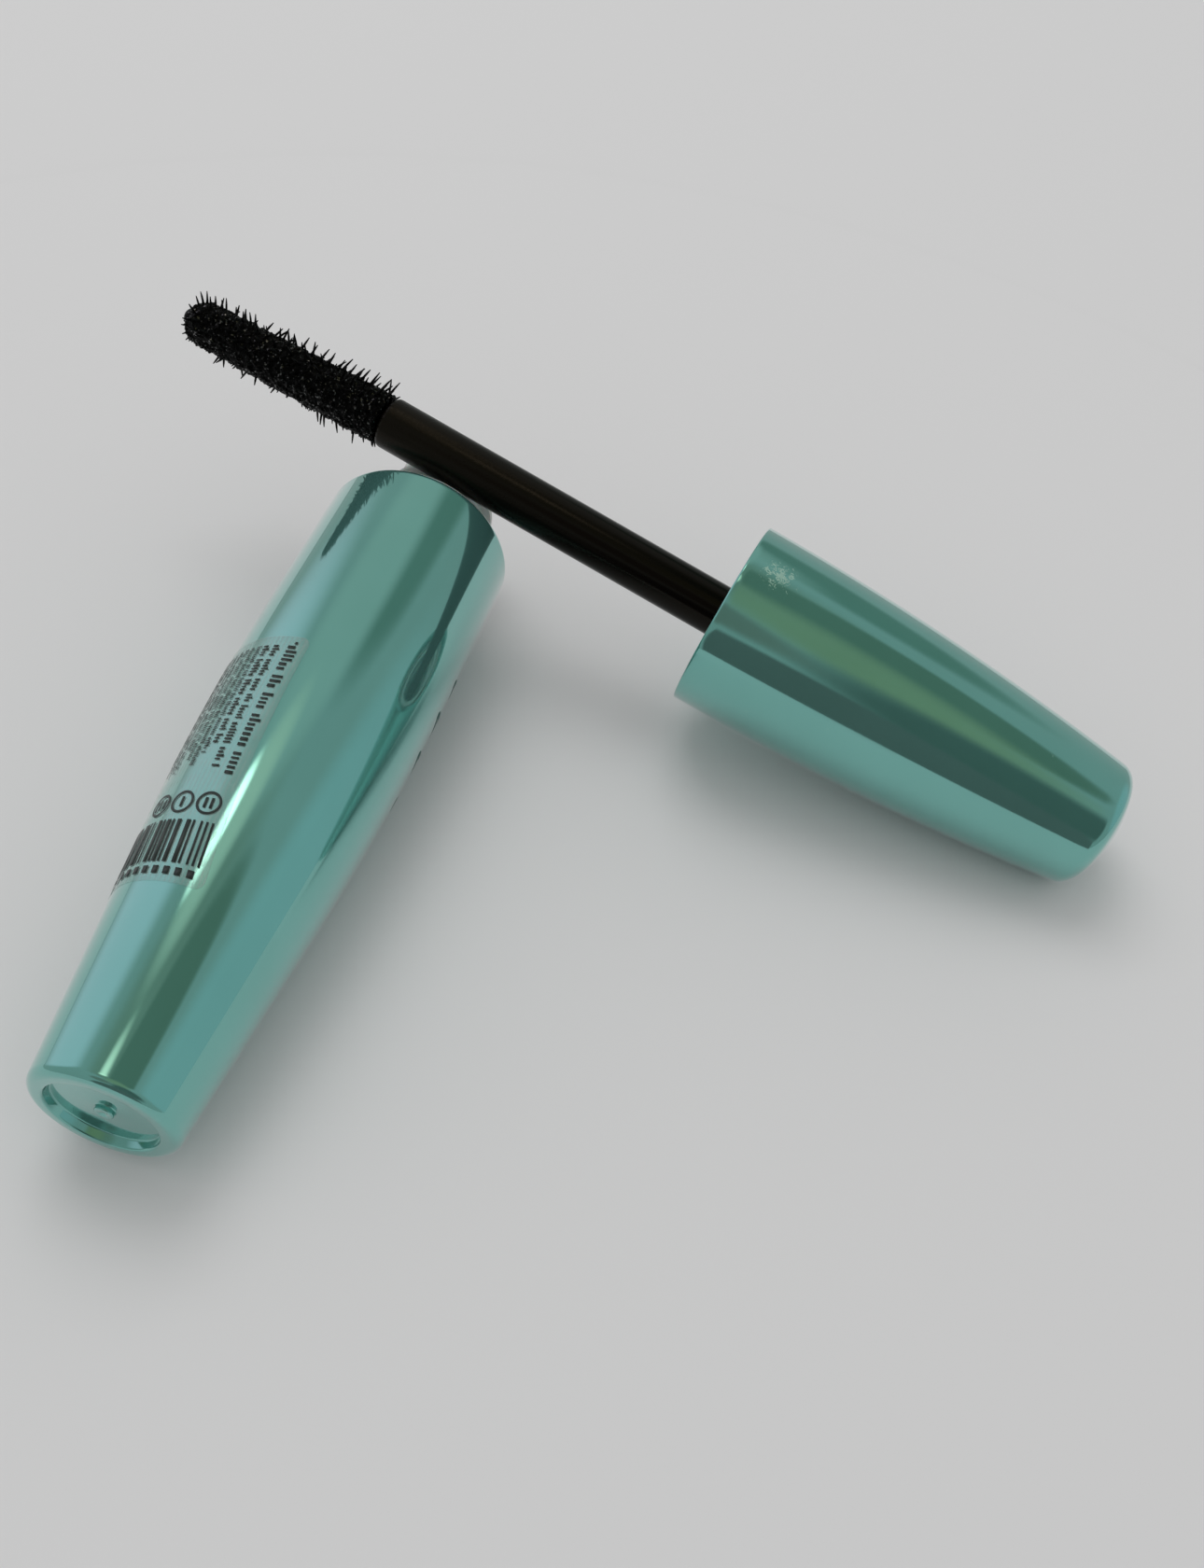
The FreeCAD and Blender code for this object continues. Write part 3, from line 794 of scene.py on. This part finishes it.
@dataclass
class BackLabel:
    """The clear label on the back, with blocks for text, plain symbols and a bar code.

    It is drawn flat in millimetres: X inwards from its right edge, Y up the bottle.
    """

    bottle: Bottle
    middle_angle: float = -150.0
    bottom: float = 18.6
    height: float = 29.8
    bottom_half: float = 8.24
    top_half: float = 8.94
    flat_radius: float = 10.8
    corner: float = 1.0
    film: float = 0.08
    ink: float = 0.014
    ink_gap: float = 0.004
    head_margin: float = 0.9
    head_gap: float = 0.4
    letter_share: float = 0.46
    stroke_gap: float = 0.24
    word_gap: float = 0.45
    small_lines: int = 11
    symbol_bars: tuple[int, ...] = (2, 1, 3)
    symbol_height: float = 27.2
    symbol_radius: float = 1.27
    bar_widths: tuple[float, ...] = (0.22, 0.22, 0.44, 0.66)
    bar_gaps: tuple[float, ...] = (0.22, 0.33, 0.55)
    bar_middle: float = 22.9
    bar_length: float = 4.6
    digits: int = 13
    digit_middle: float = 19.75
    seed: int = 11

    def half_angle(self, height: float) -> float:
        """Half of the label's angle round the bottle at a height, in degrees."""
        share = (height - self.bottom) / self.height
        half = self.bottom_half + (self.top_half - self.bottom_half) * share
        return math.degrees(math.asin(half / self.bottle.side_radius(height)))

    def wrap(self, piece: Piece, lift: float) -> None:
        """Wrap a flat drawing round the bottle.

        Args:
            piece: the drawing.
            lift: how far the drawing's zero height stands off the surface.
        """
        for point in piece.data.vertices:
            inwards, height, off = point.co
            right = self.middle_angle + self.half_angle(height)
            angle = right - math.degrees(inwards / self.bottle.side_radius(height))
            point.co = self.bottle.on_side(angle, height, lift + off)
        piece.data.update()

    def film_piece(self) -> Piece:
        """The film: a plate with round corners, cut into strips, thickened and wrapped."""
        top = self.bottom + self.height
        width = 2 * math.radians(self.half_angle(top)) * self.flat_radius
        select_none()
        plate(width / 2, self.bottom + self.height / 2, width, self.height)
        bpy.ops.mesh.bevel(offset=self.corner, segments=6, affect="VERTICES")
        cut_strips(40, 0, 0.0, width)
        cut_strips(16, 1, self.bottom, self.height)
        piece = finished("label_film", 30.0, 0.001)
        for point in piece.data.vertices:
            inside = math.radians(2 * self.half_angle(point.co.y))
            point.co.x *= inside * self.bottle.side_radius(point.co.y) / width
        thicken(piece, self.film)
        self.wrap(piece, 0.0)
        return piece

    def line(self, draw: random.Random, inwards: float, bottom: float, size: Size) -> None:
        """Add a line of blocks that stands for a line of text, running down the bottle.

        Args:
            draw: the random numbers that set the words' lengths.
            inwards: the line's distance from the label's right edge.
            bottom: where it ends.
            size: the height of its letters.
        """
        letter = size.value * self.letter_share
        place = self.bottom + self.height - self.head_margin - self.head_gap
        left_in_word = draw.randint(3, 8)
        while place - letter > bottom:
            tall = letter * draw.uniform(0.4, 0.75)
            wide = size.value * draw.choice((0.7, 0.7, 1.0))
            plate(inwards + (size.value - wide) / 2, place - tall / 2, wide, tall)
            place -= tall + size.value * self.stroke_gap
            left_in_word -= 1
            if left_in_word == 0:
                place -= size.value * self.word_gap
                left_in_word = draw.randint(2, 9)

    def symbol(self, inwards: float, bars: int) -> None:
        """Add a plain round symbol: a ring with bars across it.

        Args:
            inwards: its middle's distance from the label's right edge.
            bars: how many bars cross it.
        """
        radius, height = self.symbol_radius, self.symbol_height
        bpy.ops.mesh.primitive_circle_add(
            vertices=28, radius=radius, location=(inwards, height, 0))
        bpy.ops.mesh.extrude_edges_move()
        bpy.ops.transform.resize(
            value=(0.8, 0.8, 1), center_override=(inwards, height, 0))
        for bar in range(bars):
            across = (bar - (bars - 1) / 2) * radius * 0.5
            plate(inwards + across, height, radius * 0.22, radius * 0.9)

    def bar_code(self, draw: random.Random) -> None:
        """Add the bars, in a made-up order that codes nothing, and blocks for digits.

        Args:
            draw: the random numbers that set the bars' widths.
        """
        inwards, end = 0.9, 17.0
        while inwards < end:
            wide = draw.choice(self.bar_widths)
            plate(inwards + wide / 2, self.bar_middle, wide, self.bar_length)
            inwards += wide + draw.choice(self.bar_gaps)
        for digit in range(self.digits):
            plate(1.5 + digit * 1.18, self.digit_middle, 0.62, 0.8)

    def print_piece(self) -> Piece:
        """The printed blocks, symbols and bars."""
        draw = random.Random(self.seed)
        select_none()
        plate(1.3, self.bottom + self.height - self.head_margin, 0.3, 0.3)
        self.line(draw, 1.4, 29.4, Size.LARGE)
        for number, stop in enumerate((31.0, 33.5)):
            self.line(draw, 3.2 + number * 1.2, stop, Size.MEDIUM)
        for number in range(self.small_lines):
            self.line(draw, 5.4 + number * 0.86, draw.uniform(31.0, 34.5), Size.SMALL)
        for number, bars in enumerate(self.symbol_bars):
            self.symbol(2.2 + number * 2.9, bars)
        self.bar_code(draw)
        piece = finished("label_print", 30.0, 0.0005)
        thicken(piece, self.ink)
        self.wrap(piece, self.film + self.ink_gap)
        return piece

    def build(self) -> None:
        """Model and dress the label."""
        film = self.film_piece()
        self.bottle.axis.place(film)
        clear = ClearFilm("clear_label_film").material()
        dressed(film, clear, "bottle", "label_film", "back_label")
        ink = self.print_piece()
        self.bottle.axis.place(ink)
        black = PrintInk("label_ink", "#1C2524", "#2B3634").material()
        dressed(ink, black, "bottle", "label_film")


@dataclass
class FrontOrnament:
    """A plain ripple printed on the bottle's front, in place of any name."""

    bottle: Bottle
    middle_angle: float = 30.0
    low: float = 38.0
    high: float = 68.0
    swing: float = 4.9
    ripple: float = 5.6
    stroke: float = 0.62
    ink: float = 0.02
    ink_gap: float = 0.003

    def build(self) -> None:
        """Model and dress the ripple: a strip, cut across, bent and wrapped."""
        span = self.high - self.low
        select_none()
        plate(0.0, self.low + span / 2, self.stroke, span)
        cut_strips(150, 1, self.low, span)
        piece = finished("front_ripple", 30.0, 0.001)
        for point in piece.data.vertices:
            point.co = self.bent(point.co)
        thicken(piece, self.ink)
        for point in piece.data.vertices:
            aside, height, off = point.co
            angle = self.middle_angle + math.degrees(
                aside / self.bottle.side_radius(height))
            point.co = self.bottle.on_side(angle, height, self.ink_gap + off)
        self.bottle.axis.place(piece)
        teal = PrintInk("front_ink", "#174843", "#1F5952").material()
        dressed(piece, teal, "bottle", "label_film")

    def bent(self, flat: Vector) -> Vector:
        """Move a point of the straight strip on to the ripple.

        Args:
            flat: the point on the straight strip.

        Returns:
            The same point on the ripple, with the stroke's width kept.
        """
        share = (flat.y - self.low) / (self.high - self.low)
        grow = math.sin(math.pi * share) ** 0.7 * self.swing
        turn = 2 * math.pi * (flat.y - self.low) / self.ripple
        slope = grow * math.cos(turn) * 2 * math.pi / self.ripple
        square = Vector((1.0, -slope)).normalized()
        return Vector((
            grow * math.sin(turn) + flat.x * square.x,
            flat.y + flat.x * square.y,
            0.0))


# --- Applicator ---

@dataclass
class Cap:
    """The metallised cap and the insert that holds the stem."""

    axis: Axis
    length: float = 49.9
    mouth_radius: float = 10.9
    side_bend: float = 335.0
    side_length: float = 48.2
    dome_bend: float = 15.0
    corner: float = 2.2
    wall: float = 1.05
    top_wall: float = 1.6
    rim_round: float = 0.25
    scuff_angle: float = -78.0
    scuff_height: float = 3.7

    def side_radius(self, height: float) -> float:
        """The outer radius at a height from the mouth."""
        return (self.mouth_radius - self.side_bend
                + math.sqrt(self.side_bend ** 2 - height ** 2))

    def rim_outline(self) -> Outline:
        """The section of the mouth's edge."""
        outer, inner = self.mouth_radius, self.mouth_radius - self.wall
        up_side = 5.0
        return [
            *softened((outer, up_side), (outer, 0.0), (inner, 0.0), self.rim_round),
            *softened((outer, 0.0), (inner, 0.0), (inner, up_side), self.rim_round)]

    def shell_outline(self) -> Outline:
        """The cap's section, from the dome's middle down the side and back inside."""
        side_centre = Vector((self.mouth_radius - self.side_bend, 0.0))
        dome_centre = Vector((0.0, self.length - self.dome_bend))
        corner_centre = crossing(
            side_centre, self.side_bend - self.corner, dome_centre,
            self.dome_bend - self.corner)
        dome_end = math.degrees(math.atan2(*(corner_centre - dome_centre).yx))
        side_start = math.degrees(math.atan2(*(corner_centre - side_centre).yx))
        inner_bend = self.side_bend - self.wall
        inner_top = self.side_length - self.top_wall
        inner_end = math.degrees(math.asin(inner_top / inner_bend))
        return [
            *arc(tuple(dome_centre), self.dome_bend, 90.0, dome_end, 14),
            *arc(tuple(corner_centre), self.corner, dome_end, side_start, 12)[1:],
            *arc(tuple(side_centre), self.side_bend, side_start, 0.15, 40)[1:],
            *self.rim_outline(),
            *arc(tuple(side_centre), inner_bend, 0.3, inner_end, 12),
            (self.side_radius(inner_top) - self.wall - self.top_wall,
             self.side_length - 0.55),
            (0.0, self.length - self.wall)]

    def scuff_point(self) -> Vector:
        """The middle of the scuff near the mouth, in metres."""
        turn = math.radians(self.scuff_angle)
        radius = self.side_radius(self.scuff_height)
        on_side = Vector((
            radius * math.cos(turn), radius * math.sin(turn), self.scuff_height))
        return self.axis.matrix() @ (on_side * MM)

    def build(self) -> None:
        """Model and dress the cap and its insert."""
        shell = turned("cap", self.shell_outline())
        self.axis.place(shell)
        lacquer = MetallisedLacquer(
            "metallised_lacquer", self.axis, tuple(self.scuff_point())).material()
        dressed(shell, lacquer, "cap_and_brush", "metallised_plastic", "cap_shell")
        insert = NaturalPolypropylene("insert_polypropylene", "#DDE0DA", 0.15, 0.35)
        recoloured(frame["nodes"]["inner_cap"], insert.material())


@dataclass
class Stem:
    """The black rod between the cap and the brush."""

    axis: Axis
    radius: float = 3.0
    reach: float = 44.35
    seat: float = 15.05
    root_radius: float = 2.25
    root_top: float = 21.1
    root_chamfer: float = 0.3
    end_round: float = 0.7
    hole_radius: float = 1.4
    hole_depth: float = 8.0
    # where the dried film and its painted highlight brown fade out
    film_and_highlight_end: float = -6.0

    def build(self) -> None:
        """Model and dress the stem."""
        hole_edge = (self.hole_radius, -self.reach)
        end = (self.radius, -self.reach)
        hole_top = self.hole_depth - self.reach
        rod = turned("stem_rod", [
            (0.0, hole_top), (self.hole_radius, hole_top), hole_edge,
            *softened(hole_edge, end, (self.radius, 0.0), self.end_round, 8),
            *((self.radius, height) for height in (-30.0, -15.0, 0.0, self.seat)),
            (self.root_radius, self.seat),
            (self.root_radius, self.root_top - self.root_chamfer),
            (self.root_radius - self.root_chamfer, self.root_top),
            (0.0, self.root_top)], sides=96)
        self.axis.place(rod)
        acetal = MouldedAcetal("moulded_acetal", self.axis, -self.reach, self.film_and_highlight_end)
        dressed(rod, acetal.material(), "stem", "stem_black", "stem")


@dataclass
class Brush:
    """The moulded brush: a core, rings of bristles and the mascara caught between them."""

    axis: Axis
    root: float = -44.45
    length: float = 27.0
    droop: float = 2.2
    core_radius: float = 1.7
    tip_radius: float = 1.15
    spigot_radius: float = 1.3
    spigot_top: float = 7.4
    coat_root_radius: float = 2.95
    coat_tip_radius: float = 2.6
    coat_rings: int = 190
    rings: int = 20
    per_ring: int = 16
    first_ring: float = 0.9
    pitch: float = 1.27
    bristle_foot: float = 1.0
    bristle_radius: float = 0.2
    reach_root: float = 4.8
    reach_tip: float = 3.65
    free_half_angle: float = 38.0
    free_chance: float = 0.22
    seed: int = 5
    bristles: list[Piece] = field(default_factory=list)

    def lay(self, piece: Piece) -> None:
        """Turn a brush piece down by the droop and lay it along the applicator."""
        root = Vector((0, 0, self.root))
        droop = Matrix.Rotation(math.radians(self.droop), 4, "X")
        piece.data.transform(Matrix.Translation(root) @ droop @ Matrix.Translation(-root))
        self.axis.place(piece)

    def core(self) -> Piece:
        """The core with its domed tip and the spigot that sits in the stem."""
        neck = self.root - self.length + self.tip_radius
        foot = self.root - 0.3
        return turned("brush_core", [
            (0.0, self.root + self.spigot_top),
            (self.spigot_radius, self.root + self.spigot_top),
            (self.spigot_radius, foot), (self.core_radius, foot),
            *arc((0.0, neck), self.tip_radius, 0.0, -90.0, 8)], sides=32)

    def coat(self) -> Piece:
        """The mascara packed between the bristles: a lumpy sleeve over the core."""
        end = self.root - self.length + 0.4
        neck = end + self.coat_tip_radius
        outline: Outline = [(1.35, self.root - 0.06), (2.8, self.root - 0.06)]
        for step in range(self.coat_rings + 1):
            share = step / self.coat_rings
            height = self.root - 0.2 + (neck - self.root + 0.2) * share
            radius = self.coat_root_radius + share * (
                self.coat_tip_radius - self.coat_root_radius)
            outline.append((radius, height))
        outline += arc((0.0, neck), self.coat_tip_radius, 0.0, -90.0, 24)[1:]
        piece = turned("mascara_coat", outline, sides=180, sharp_degrees=180.0)
        for size, depth in ((0.9, 0.55), (0.35, 0.42)):
            lumps = bpy.data.textures.new("lumps", "CLOUDS")
            lumps.noise_scale = size
            lumps.noise_depth = 1
            modified(piece, "DISPLACE", texture=lumps, texture_coords="GLOBAL",
                     strength=depth, mid_level=0.55)
        return piece

    def one_bristle(self) -> Piece:
        """One bristle, 1 long along Z, tapered and bent over towards X near its tip."""
        width, rise = self.bristle_radius, 0.2
        widths = (0.18, 0.165, 0.15, 0.13, 0.06)
        leans = (0.02, 0.05, 0.11, 0.22, 0.24)
        select_none()
        bpy.ops.mesh.primitive_circle_add(
            vertices=6, radius=width, location=(0, 0, 0), enter_editmode=True)
        for step, (narrower, lean) in enumerate(zip(widths, leans), start=1):
            bpy.ops.mesh.extrude_edges_move(
                TRANSFORM_OT_translate={"value": (lean, 0, rise)})
            bpy.ops.transform.resize(
                value=(narrower / width, narrower / width, 1),
                center_override=(sum(leans[:step]), 0, rise * step))
            width = narrower
        bpy.ops.mesh.edge_face_add()
        return finished("bristle", 80.0, 0.0001)

    def bristle_piece(self) -> Piece:
        """All the bristles: one is modelled, then each is a bent and turned copy."""
        draw = random.Random(self.seed)
        model = self.one_bristle()
        for ring in range(self.rings):
            place = self.first_ring + ring * self.pitch
            share = place / self.length
            reach = self.reach_root + share * (self.reach_tip - self.reach_root)
            for step in range(self.per_ring):
                angle = 360 * (step + 0.5 * (ring % 2)) / self.per_ring
                self.plant(model, draw, place, angle, reach)
        bpy.data.objects.remove(model)
        select_none()
        for bristle in self.bristles:
            bristle.select_set(True)
        bpy.context.view_layer.objects.active = self.bristles[0]
        bpy.ops.object.join()
        bpy.ops.object.transform_apply(location=True, rotation=True, scale=True)
        return named(self.bristles[0], "brush_bristles")

    def plant(self, model: Piece, draw: random.Random, place: float, angle: float,
              reach: float) -> None:
        """Stand one copy of the bristle on the core.

        Args:
            model: the bristle to copy.
            draw: the random numbers that make each one differ.
            place: its distance from the brush's root.
            angle: its direction round the core, in degrees, where -90 is up.
            reach: how far its tip stands from the axis.
        """
        from_top = abs((angle + 90 + 180) % 360 - 180)
        clumped = min(1.0, max(0.0, (from_top - self.free_half_angle) / 40))
        if from_top > 120 and draw.random() < self.free_chance:
            clumped = 0.25
        tip = reach * (1 - 0.26 * clumped) + draw.uniform(-0.3, 0.0)
        copy = model.copy()
        copy.data = model.data.copy()
        bpy.context.scene.collection.objects.link(copy)
        stand = Matrix.Rotation(math.radians(90), 4, "Y")
        towards_tip = 180 if draw.random() < place / self.length else 0
        hook = Matrix.Rotation(math.radians(towards_tip + draw.gauss(0, 25)), 4, "Z")
        grow = Matrix.Diagonal((1.0, 1.0, tip - self.bristle_foot, 1.0))
        lean = Matrix.Rotation(math.radians(draw.gauss(-2, 5)), 4, "Y")
        turn = Matrix.Rotation(math.radians(angle + draw.gauss(0, 2.5)), 4, "Z")
        move = Matrix.Translation((0, 0, self.root - place + draw.gauss(0, 0.06)))
        out = Matrix.Translation((self.bristle_foot, 0, 0))
        flip = Matrix.Rotation(math.radians(180), 4, "Z")
        copy.data.transform(move @ turn @ out @ lean @ stand @ flip @ hook @ grow)
        self.bristles.append(copy)

    def build(self) -> None:
        """Model and dress the brush."""
        core, bristles, coat = self.core(), self.bristle_piece(), self.coat()
        for piece in (core, bristles, coat):
            self.lay(piece)
        rubber = BrushElastomer("brush_elastomer").material()
        dressed(core, rubber, "cap_and_brush", "brush_black", "brush")
        dressed(bristles, rubber, "cap_and_brush", "brush_black")
        wet = WetMascara("wet_mascara").material()
        dressed(coat, wet, "cap_and_brush", "mascara_paste")


# --- Studio ---

@dataclass(frozen=True)
class SoftPanel:
    """A soft round patch of light or shade in the studio, with its angles in degrees."""

    azimuth: float
    elevation: float
    inner: float
    outer: float
    colour: str
    strength: float = 1.0

    def direction(self) -> Vector:
        """The way from the object to the patch."""
        across, rise = math.radians(self.azimuth), math.radians(self.elevation)
        return Vector((
            math.sin(across) * math.cos(rise), math.cos(across) * math.cos(rise),
            math.sin(rise)))

    def laid_over(self, tree: Tree, way: Socket, light: Node) -> Node:
        """Lay the patch over the light so far.

        Args:
            tree: the world's tree.
            way: the direction that is looked in.
            light: the light so far.

        Returns:
            The light with the patch in it.
        """
        facing = add_node(tree, "VectorMath", {
            0: way, 1: tuple(self.direction())}, operation="DOT_PRODUCT")
        cover = add_node(tree, "MapRange", {
            "Value": facing, "From Min": math.cos(math.radians(self.outer)),
            "From Max": math.cos(math.radians(self.inner))},
            interpolation_type="SMOOTHSTEP")
        colour = Vector(linear(self.colour)[:3]) * self.strength
        return add_node(tree, "Mix", {
            "Factor": cover, "A": light, "B": (*colour, 1.0)}, data_type="RGBA")


@dataclass
class Studio:
    """The pale floor, the soft light and the camera, whose place is from the base."""

    base: Vector
    ambient: str = "#9EA3A0"
    panels: tuple[SoftPanel, ...] = (
        SoftPanel(0.0, 90.0, 10.0, 32.0, "#81826F"),
        SoftPanel(80.0, 12.0, 18.0, 36.0, "#ACBCC0"),
        SoftPanel(19.0, 38.0, 11.0, 20.0, "#5F7265"),
        SoftPanel(-8.0, 52.0, 12.0, 24.0, "#B4B6B0"),
        SoftPanel(-72.0, 24.0, 16.0, 34.0, "#E4DEEA"),
        SoftPanel(92.0, 68.0, 15.0, 20.0, "#525E45"),
        SoftPanel(148.0, 60.0, 4.0, 24.0, "#95926A"),
        SoftPanel(152.0, 29.0, 13.0, 26.0, "#2E362A"),
        SoftPanel(176.0, 4.0, 20.0, 24.0, "#4C403C"),
        SoftPanel(-170.0, 42.0, 8.0, 16.0, "#756A5F"),
        SoftPanel(-24.0, 69.0, 3.0, 13.0, "#FFF3DC", 0.8),
        SoftPanel(-42.0, 64.0, 1.0, 6.0, "#FFF6E6", 4.5),
        SoftPanel(-100.0, 85.0, 1.0, 8.0, "#FFF0D8", 2.0),
    )
    dome: str = "#C8C8C8"
    backdrop: str = "#CCCCCC"
    table_radius: float = 0.16
    far_radius: float = 12.0
    key_place: tuple[float, float, float] = (-0.4, 0.48, 1.2)
    key_size: float = 0.8
    key_watts: float = 4.2
    lens_mm: float = 32.854
    camera_from_base: tuple[float, float, float] = (0.04201, -0.04839, 0.11386)
    camera_turn: tuple[float, float, float] = (0.7158, -0.1295, 0.2678)

    def world(self) -> None:
        """Light the studio from all around.

        Gloss mirrors the soft panels, soft light comes from an even dome, so that no
        panel tints the floor, and the camera sees a plain backdrop.
        """
        world = bpy.data.worlds.new("studio")
        bpy.context.scene.world = world
        world.use_nodes = True
        tree = world.node_tree
        tree.nodes.clear()
        way = add_node(tree, "TexCoord").outputs["Generated"]
        light = add_node(tree, "RGB")
        light.outputs[0].default_value = linear(self.ambient)
        for panel in self.panels:
            light = panel.laid_over(tree, way, light)
        seen = add_node(tree, "LightPath")
        mirrored = add_node(tree, "Mix", {
            "Factor": seen.outputs["Is Glossy Ray"], "A": linear(self.dome), "B": light},
            data_type="RGBA")
        plain = add_node(tree, "Mix", {
            "Factor": seen.outputs["Is Camera Ray"], "A": mirrored,
            "B": linear(self.backdrop)}, data_type="RGBA")
        background = add_node(tree, "Background", {"Color": plain})
        add_node(tree, "OutputWorld", {"Surface": background})

    def floor(self) -> None:
        """A pale table top, and a wider floor just under it that gloss doesn't mirror."""
        material = PaleTable("pale_table").material()
        for name, radius, height in (("table", self.table_radius, 0.0),
                                     ("far_floor", self.far_radius, -0.0005)):
            select_none()
            bpy.ops.mesh.primitive_circle_add(
                vertices=96, radius=radius, location=(0, 0, height), fill_type="NGON")
            bpy.ops.object.transform_apply(location=True)
            surface = bpy.context.object
            surface.name = name
            surface.data.materials.append(material)
            surface.visible_glossy = name == "table"

    def lamp(self) -> None:
        """Hang the soft square key lamp, which points at the object."""
        light = bpy.data.lights.new("key", "AREA")
        light.shape = "SQUARE"
        light.size = self.key_size
        light.energy = self.key_watts
        holder = bpy.data.objects.new("key", light)
        holder.location = self.key_place
        holder.rotation_mode = "QUATERNION"
        holder.rotation_quaternion = Vector(self.key_place).to_track_quat("Z", "Y")
        bpy.context.scene.collection.objects.link(holder)
        holder.visible_camera = False
        holder.visible_glossy = False

    def camera(self) -> None:
        """Set the camera above and behind the bottle's base, looking down across it."""
        lens = bpy.data.cameras.new("camera")
        lens.lens = self.lens_mm
        lens.sensor_width = 36.0
        lens.clip_start = 0.005
        camera = bpy.data.objects.new("camera", lens)
        camera.location = self.base + Vector(self.camera_from_base)
        camera.rotation_euler = self.camera_turn
        bpy.context.scene.collection.objects.link(camera)
        bpy.context.scene.camera = camera

    def build(self) -> None:
        """Set up the studio."""
        bpy.context.scene.view_settings.view_transform = "Standard"
        self.world()
        self.floor()
        self.lamp()
        self.camera()


# --- The whole object ---

def bottle_axis() -> Axis:
    """The bottle's axis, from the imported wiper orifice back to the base."""
    orifice_height = 77.1
    mount = next(m for m in frame["record"]["mounts"] if m["name"] == "wiper_orifice")
    way = Vector(mount["axis"]).normalized()
    return Axis(Vector(mount["pos_m"]) - way * orifice_height * MM, way)


def applicator_axis() -> Axis:
    """The applicator's axis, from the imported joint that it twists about."""
    joint = next(j for j in frame["joints"] if j["name"] == "applicator_twist")
    return Axis(Vector(joint["pos_m"]), Vector(joint["axis"]).normalized())


def main() -> None:
    """Build the object piece by piece, then the studio, and log each part as it is done."""
    logging.basicConfig(level=logging.INFO, format="%(relativeCreated)d ms %(message)s")
    bottle = Bottle(bottle_axis())
    across = applicator_axis()
    for part in (bottle, BackLabel(bottle), FrontOrnament(bottle), Cap(across),
                 Stem(across), Brush(across), Studio(bottle.axis.zero)):
        part.build()
        log.info("%s done", type(part).__name__)


if __name__ == "__main__":
    main()
